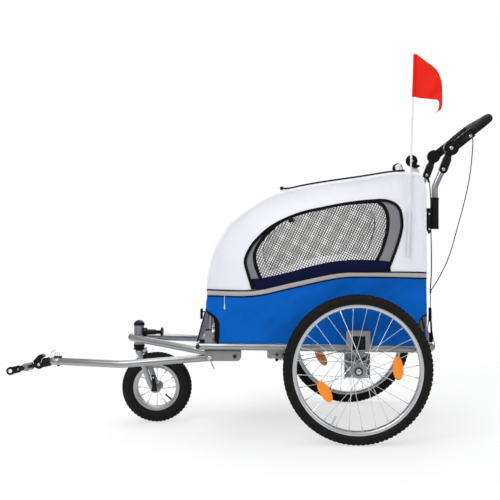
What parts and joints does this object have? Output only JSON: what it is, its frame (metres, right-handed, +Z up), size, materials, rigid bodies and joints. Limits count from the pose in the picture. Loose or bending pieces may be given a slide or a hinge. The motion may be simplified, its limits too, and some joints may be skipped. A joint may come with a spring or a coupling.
{
  "type": "folding bicycle trailer",
  "caption": "Folding dog and cargo trailer for a bicycle, also pushed as a stroller: fabric cabin on a tube frame, spoked rear wheels, swivelling caster, tow bar, handle and flag.",
  "frame": {"origin": "on the ground under the middle of the trailer's box; cords not counted", "axes": "+X to the rear, towards the push handle; -X to the hitch; +Y to the trailer's right side; +Z up"},
  "size_m": [1.6703, 0.696, 1.3001],
  "materials": {
    "silver_frame": "satin silver paint",
    "grey_plate": "satin grey zinc-like paint",
    "bright_steel": "bright",
    "rim_alloy": "polished",
    "black_plastic": "matt",
    "black_foam": "soft foam",
    "black_rubber": "matt",
    "tyre_rubber": "matt",
    "blue_fabric": "coated woven cloth",
    "white_fabric": "coated woven cloth",
    "black_net": "open net",
    "floor_board": "board covered with black cloth",
    "orange_reflector": "prismatic, glossy",
    "red_flag": "smooth woven cloth",
    "white_pole": "fibre rod",
    "cord_black": "matt",
    "cord_grey": "matt"
  },
  "bodies": {
    "base": {"left_side_rail": "silver_frame", "right_side_rail": "silver_frame", "rear_cross_tube": "silver_frame", "front_frame": "silver_frame", "swivel_lock_body": "black_plastic", "tow_bar_receiver": "grey_plate", "left_suspension_housing": "grey_plate", "right_suspension_housing": "grey_plate", "left_elastomer": "black_rubber", "right_elastomer": "black_rubber", "floor_panel": "floor_board", "tub_fabric": "blue_fabric", "canopy_fabric": "white_fabric", "left_window_net": "black_net", "right_window_net": "black_net", "tether_strap": "cord_black"},
    "left_carrier": {"left_hub_carrier": "grey_plate", "left_wheel_axle": "bright_steel"},
    "right_carrier": {"right_hub_carrier": "grey_plate", "right_wheel_axle": "bright_steel"},
    "left_wheel": {"left_tyre": "tyre_rubber", "left_rim": "rim_alloy", "left_hub_spokes": "bright_steel", "left_lower_reflector": "orange_reflector", "left_rear_reflector": "orange_reflector"},
    "right_wheel": {"right_tyre": "tyre_rubber", "right_rim": "rim_alloy", "right_hub_spokes": "bright_steel", "right_lower_reflector": "orange_reflector", "right_rear_reflector": "orange_reflector"},
    "left_button": {"left_release_button": "bright_steel"},
    "right_button": {"right_release_button": "bright_steel"},
    "fork": {"caster_fork": "grey_plate", "front_wheel_skewer": "bright_steel", "head_cap": "black_plastic"},
    "front_wheel": {"front_tyre": "tyre_rubber", "front_wheel_core": "rim_alloy"},
    "quick_lever": {"front_quick_lever": "black_plastic"},
    "swivel_plunger": {"swivel_lock_plunger": "black_plastic"},
    "tow_bar": {"tow_bar_tube": "silver_frame", "hitch_coupler": "black_plastic"},
    "hitch": {"hitch_yoke": "grey_plate"},
    "tow_bar_pin": {"tow_bar_lock_pin": "bright_steel"},
    "rear_frame": {"left_upright": "silver_frame", "right_upright": "silver_frame", "rear_crossbar": "silver_frame", "left_post_sleeve": "black_plastic", "right_post_sleeve": "black_plastic", "right_tether_cord": "cord_black"},
    "left_lever": {"left_fold_lever": "black_plastic"},
    "right_lever": {"right_fold_lever": "black_plastic"},
    "flag": {"flag_pole": "white_pole", "flag_pennant": "red_flag"},
    "arch": {"canopy_arch": "silver_frame"},
    "handle_lower": {"left_handle_post": "silver_frame", "right_handle_post": "silver_frame", "left_tether_cord": "cord_grey"},
    "handle_upper": {"left_upper_arm": "black_plastic", "right_upper_arm": "black_plastic", "handle_grip": "black_foam"}
  },
  "joints": [
    {"name": "left_suspension_travel", "type": "slide", "parent": "base", "child": "left_carrier", "axis": [0, 0, 1], "range_m": [0, 0.008], "stiffness_N_per_m": 20000, "springref_m": -0.01, "deforming": ["left_elastomer"]},
    {"name": "left_wheel_spin", "type": "hinge", "parent": "left_carrier", "child": "left_wheel", "pos_m": [0.37, -0.31, 0.247], "axis": [0, -1, 0], "continuous": true},
    {"name": "left_button_press", "type": "slide", "parent": "left_carrier", "child": "left_button", "axis": [0, 1, 0], "range_m": [0, 0.003], "stiffness_N_per_m": 800, "springref_m": -0.002},
    {"name": "right_suspension_travel", "type": "slide", "parent": "base", "child": "right_carrier", "axis": [0, 0, 1], "range_m": [0, 0.008], "stiffness_N_per_m": 20000, "springref_m": -0.01, "deforming": ["right_elastomer"]},
    {"name": "right_wheel_spin", "type": "hinge", "parent": "right_carrier", "child": "right_wheel", "pos_m": [0.37, 0.31, 0.247], "axis": [0, -1, 0], "continuous": true},
    {"name": "right_button_press", "type": "slide", "parent": "right_carrier", "child": "right_button", "axis": [0, -1, 0], "range_m": [0, 0.003], "stiffness_N_per_m": 800, "springref_m": -0.002},
    {"name": "caster_swivel", "type": "hinge", "parent": "base", "child": "fork", "pos_m": [-0.4112, 0, 0.3], "axis": [0, 0, 1], "continuous": true},
    {"name": "front_wheel_spin", "type": "hinge", "parent": "fork", "child": "front_wheel", "pos_m": [-0.3457, 0, 0.127], "axis": [0, -1, 0], "continuous": true},
    {"name": "front_quick_release", "type": "hinge", "parent": "fork", "child": "quick_lever", "pos_m": [-0.3457, -0.0548, 0.127], "axis": [1, 0, 0], "range_deg": [0, 175]},
    {"name": "swivel_lock_pull", "type": "slide", "parent": "base", "child": "swivel_plunger", "axis": [1, 0, 0], "range_m": [0, 0.008], "stiffness_N_per_m": 600, "springref_m": -0.004},
    {"name": "tow_bar_fold", "type": "hinge", "parent": "base", "child": "tow_bar", "pos_m": [-0.04, -0.2205, 0.2785], "axis": [0, -1, 0], "range_deg": [0, 160]},
    {"name": "tow_bar_lock_pin_pull", "type": "slide", "parent": "base", "child": "tow_bar_pin", "axis": [0, -1, 0], "range_m": [0, 0.03]},
    {"name": "hitch_yaw", "type": "hinge", "parent": "tow_bar", "child": "hitch", "pos_m": [-0.74998, -0.166, 0.23307], "axis": [-0.2351, 0, 0.972], "range_deg": [-60, 60]},
    {"name": "rear_frame_fold", "type": "hinge", "parent": "base", "child": "rear_frame", "pos_m": [0.6, 0, 0.349], "axis": [0, -1, 0], "range_deg": [0, 85], "deforming": ["canopy_fabric", "left_window_net", "right_window_net"]},
    {"name": "canopy_arch_fold", "type": "hinge", "parent": "base", "child": "arch", "pos_m": [-0.1285, 0, 0.35], "axis": [0, 1, 0], "range_deg": [0, 27]},
    {"name": "left_fold_lever_turn", "type": "hinge", "parent": "rear_frame", "child": "left_lever", "pos_m": [0.558, -0.2063, 0.938], "axis": [0, -1, 0], "range_deg": [0, 60]},
    {"name": "right_fold_lever_turn", "type": "hinge", "parent": "rear_frame", "child": "right_lever", "pos_m": [0.558, 0.2063, 0.938], "axis": [0, -1, 0], "range_deg": [0, 60]},
    {"name": "flag_lift", "type": "slide", "parent": "rear_frame", "child": "flag", "axis": [0.0306, 0, 0.9995], "range_m": [0, 0.24]},
    {"name": "handle_height", "type": "slide", "parent": "rear_frame", "child": "handle_lower", "axis": [0, 0, 1], "range_m": [-0.025, 0.045], "deforming": ["right_tether_cord"]},
    {"name": "handle_tilt", "type": "hinge", "parent": "handle_lower", "child": "handle_upper", "pos_m": [0.696, 0, 0.983], "axis": [0, 1, 0], "range_deg": [-45, 60], "deforming": ["left_tether_cord"]}
  ],
  "couplings": [
    {"joint": "canopy_arch_fold", "follows": "rear_frame_fold", "ratio": 0.3176}
  ]
}
